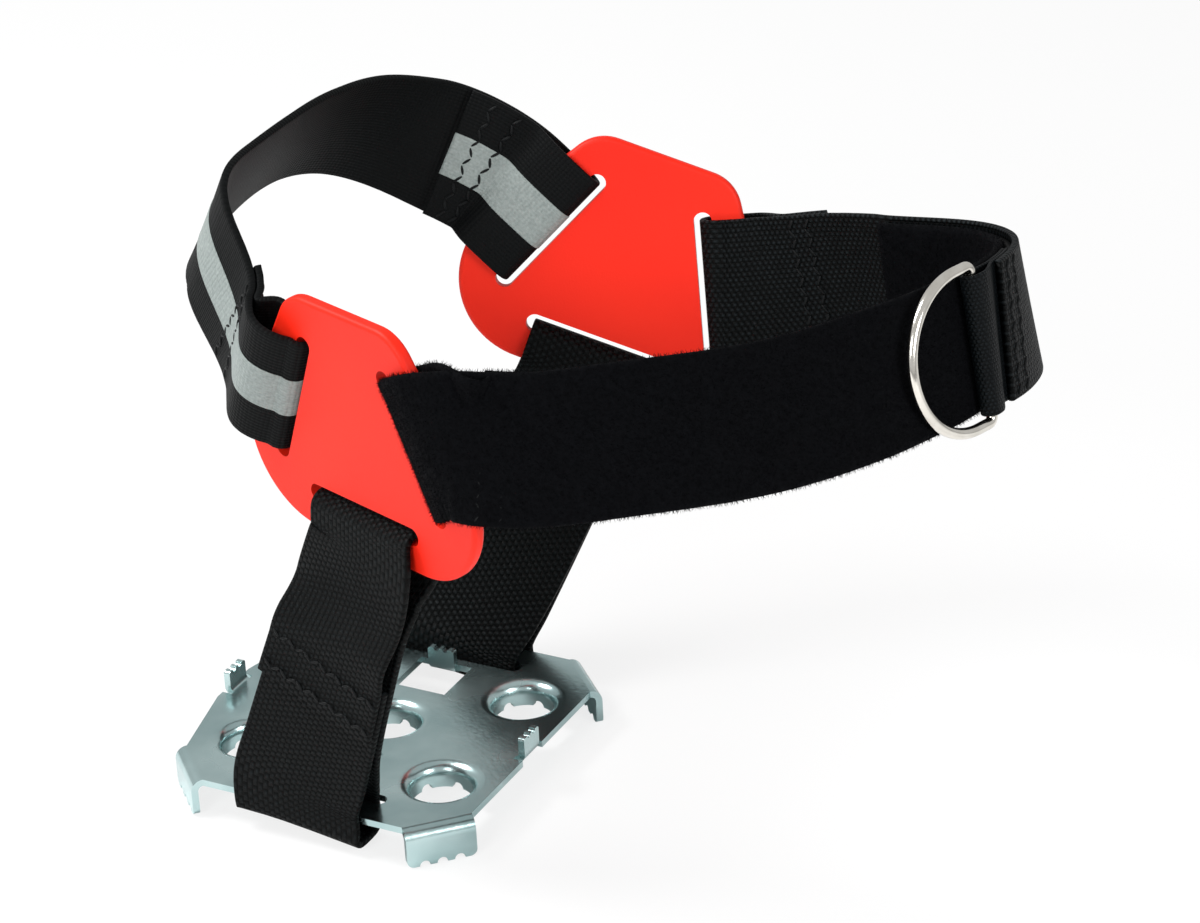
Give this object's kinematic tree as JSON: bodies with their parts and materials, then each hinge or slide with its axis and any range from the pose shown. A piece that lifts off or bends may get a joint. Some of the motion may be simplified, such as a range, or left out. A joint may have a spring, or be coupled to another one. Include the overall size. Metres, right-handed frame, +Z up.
{
  "type": "heel ice spur",
  "caption": "Strap-on heel ice spur: toothed steel heel plate hung on side webbing from two link plates, with an elastic heel band and a hook-and-loop front strap with a D-ring.",
  "frame": {"origin": "middle of the heel plate's top face, on the axis of its middle hole", "axes": "+Y to the toe, +Z up out of the plate's top face, +X to the wearer's right"},
  "size_m": [0.1473, 0.167, 0.141],
  "materials": {
    "zinc_steel": "bright zinc-plated pressed sheet",
    "link_plastic": "moulded, fine grain, semi-gloss",
    "webbing": "ribbed black webbing",
    "elastic": "fine ribbed elastic",
    "reflective": "silver-grey reflective weave",
    "loop_pile": "fuzzy loop pile",
    "hook_tape": "hook tape",
    "thread": "bonded thread",
    "nickel": "bright nickel-plated wire"
  },
  "bodies": {
    "plate": {"heel_plate": "zinc_steel"},
    "right_webbing": {"right_side_webbing": "webbing", "right_webbing_stitches": "thread"},
    "left_webbing": {"left_side_webbing": "webbing", "left_webbing_stitches": "thread"},
    "harness": {"right_link_plate": "link_plastic", "left_link_plate": "link_plastic", "elastic_right_end": "elastic", "elastic_right_arm": "elastic", "elastic_left_end": "elastic", "elastic_left_arm": "elastic", "reflective_stripe_right_end": "reflective", "reflective_stripe_right_arm": "reflective", "reflective_stripe_left_end": "reflective", "reflective_stripe_left_arm": "reflective", "elastic_right_stitches": "thread", "elastic_left_stitches": "thread", "loop_strap": "loop_pile", "loop_strap_stitches": "thread", "hook_strap": "webbing", "hook_strap_stitches": "thread", "hook_patch_rear": "hook_tape"},
    "elastic_back": {"elastic_back": "elastic", "reflective_stripe_back": "reflective"},
    "strap_end": {"hook_strap_end": "webbing", "hook_patch": "hook_tape", "d_ring_tab": "webbing", "d_ring_tab_stitches": "thread"},
    "d_ring": {"d_ring": "nickel"}
  },
  "joints": [
    {"name": "right_webbing_swing", "type": "hinge", "parent": "plate", "child": "right_webbing", "pos_m": [0.0346, 0, -0.00075], "axis": [0, 1, 0], "range_deg": [-3.5, 3.5]},
    {"name": "harness_swing", "type": "hinge", "parent": "right_webbing", "child": "harness", "pos_m": [0.03757, 0.02341, 0.0711], "axis": [0, 1, 0], "range_deg": [-2.3, 2.3]},
    {"name": "left_webbing_swing", "type": "hinge", "parent": "plate", "child": "left_webbing", "pos_m": [-0.0346, 0, -0.00075], "axis": [0, 1, 0], "range_deg": [-4, 4]},
    {"name": "strap_end_opening", "type": "hinge", "parent": "harness", "child": "strap_end", "pos_m": [-0.08488, 0.10238, 0.08483], "axis": [0.0629, -0.1406, 0.9881], "range_deg": [0, 140]},
    {"name": "ring_swing", "type": "hinge", "parent": "strap_end", "child": "d_ring", "pos_m": [-0.04333, 0.12133, 0.09234], "axis": [-0.0855, -0.1868, 0.9787], "range_deg": [0, 115]},
    {"name": "elastic_stretch", "type": "slide", "parent": "harness", "child": "elastic_back", "axis": [0, -0.8571, 0.5151], "range_m": [0, 0.02], "stiffness_N_per_m": 200, "deforming": ["elastic_right_arm", "elastic_left_arm", "reflective_stripe_right_arm", "reflective_stripe_left_arm"]}
  ],
  "couplings": [
    {"joint": "harness_swing", "follows": "right_webbing_swing", "ratio": -0.632},
    {"joint": "left_webbing_swing", "follows": "right_webbing_swing", "ratio": 1.111}
  ]
}
